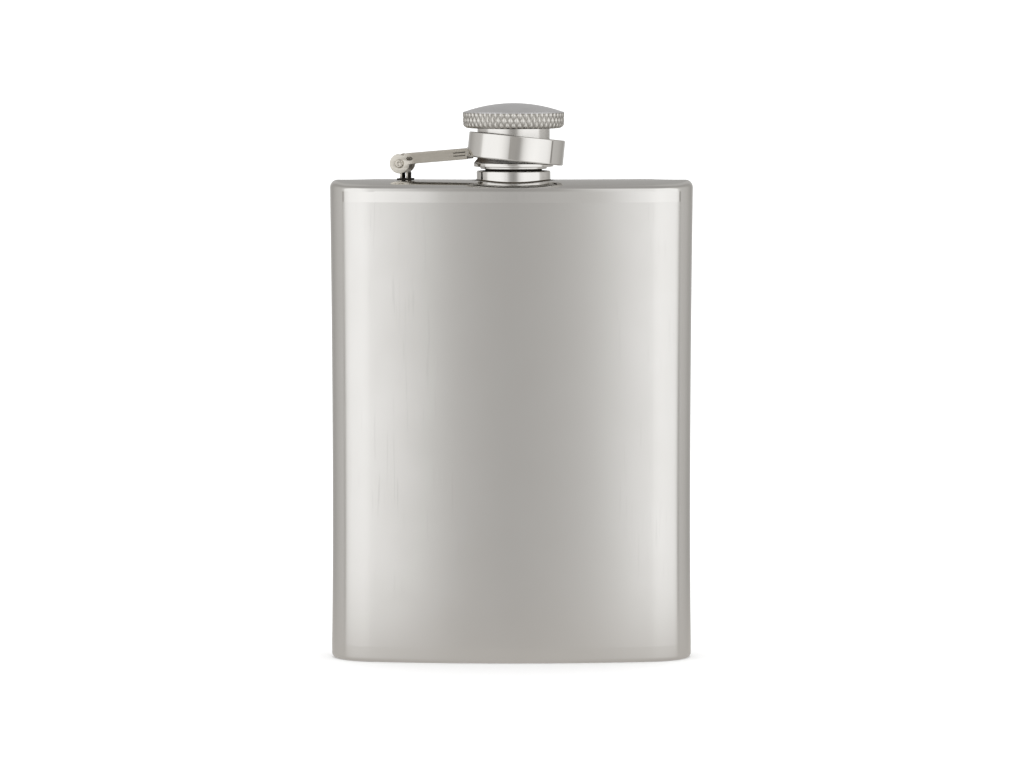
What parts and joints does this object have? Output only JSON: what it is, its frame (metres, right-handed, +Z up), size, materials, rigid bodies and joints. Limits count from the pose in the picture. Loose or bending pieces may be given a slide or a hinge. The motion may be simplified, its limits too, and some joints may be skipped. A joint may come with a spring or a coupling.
{
  "type": "hip flask",
  "caption": "Slim polished steel hip flask with a curved, round-ended body and a knurled screw cap held by a ring on a hinged arm.",
  "frame": {"origin": "middle of the base on the surface it stands on, at the bottom centre of the bounding box", "axes": "+Z up through the neck; -Y towards the convex side; the hinge of the captive arm is on the -X side of the neck"},
  "size_m": [0.0698, 0.0219, 0.1072],
  "materials": {
    "polished_shell": "polished stainless sheet with a very fine grain",
    "polished_fittings": "mirror polished, turned stainless",
    "cap_head_steel": "knurled band under a satin dome",
    "hinge_steel": "tumbled stamped strip and wire",
    "seal_rubber": "smooth moulded food-grade silicone"
  },
  "bodies": {
    "root": {"body_wall": "polished_shell", "base_plate": "polished_shell", "deck_plate": "polished_shell", "neck_fitting": "polished_fittings", "hinge_post": "hinge_steel"},
    "swing": {"hinge_rivet": "hinge_steel"},
    "arm": {"hinge_arm": "hinge_steel", "captive_ring": "polished_fittings"},
    "seal": {"cap_seal": "seal_rubber"},
    "cap": {"cap_head": "cap_head_steel", "cap_sleeve": "polished_fittings"}
  },
  "joints": [
    {"name": "arm_swing", "type": "hinge", "parent": "root", "child": "swing", "pos_m": [-0.02102, 0.00302, 0.0955], "axis": [-0.1946, -0.9809, 0], "range_deg": [0, 160]},
    {"name": "cap_unscrew", "type": "hinge", "parent": "seal", "child": "cap", "pos_m": [0.0004, -0.00123, 0.1], "axis": [0, 0, 1], "range_deg": [0, 720]},
    {"name": "cap_rise", "type": "slide", "parent": "swing", "child": "seal", "axis": [0, 0, 1], "range_m": [0, 0.003]},
    {"name": "ring_lift", "type": "hinge", "parent": "swing", "child": "arm", "pos_m": [-0.02102, 0.00302, 0.0955], "axis": [-0.1946, -0.9809, 0], "range_deg": [0, 7.7]}
  ],
  "couplings": [
    {"joint": "cap_rise", "follows": "cap_unscrew", "m_per_rad": 0.00023873},
    {"joint": "ring_lift", "follows": "cap_unscrew", "ratio": 0.010694}
  ]
}
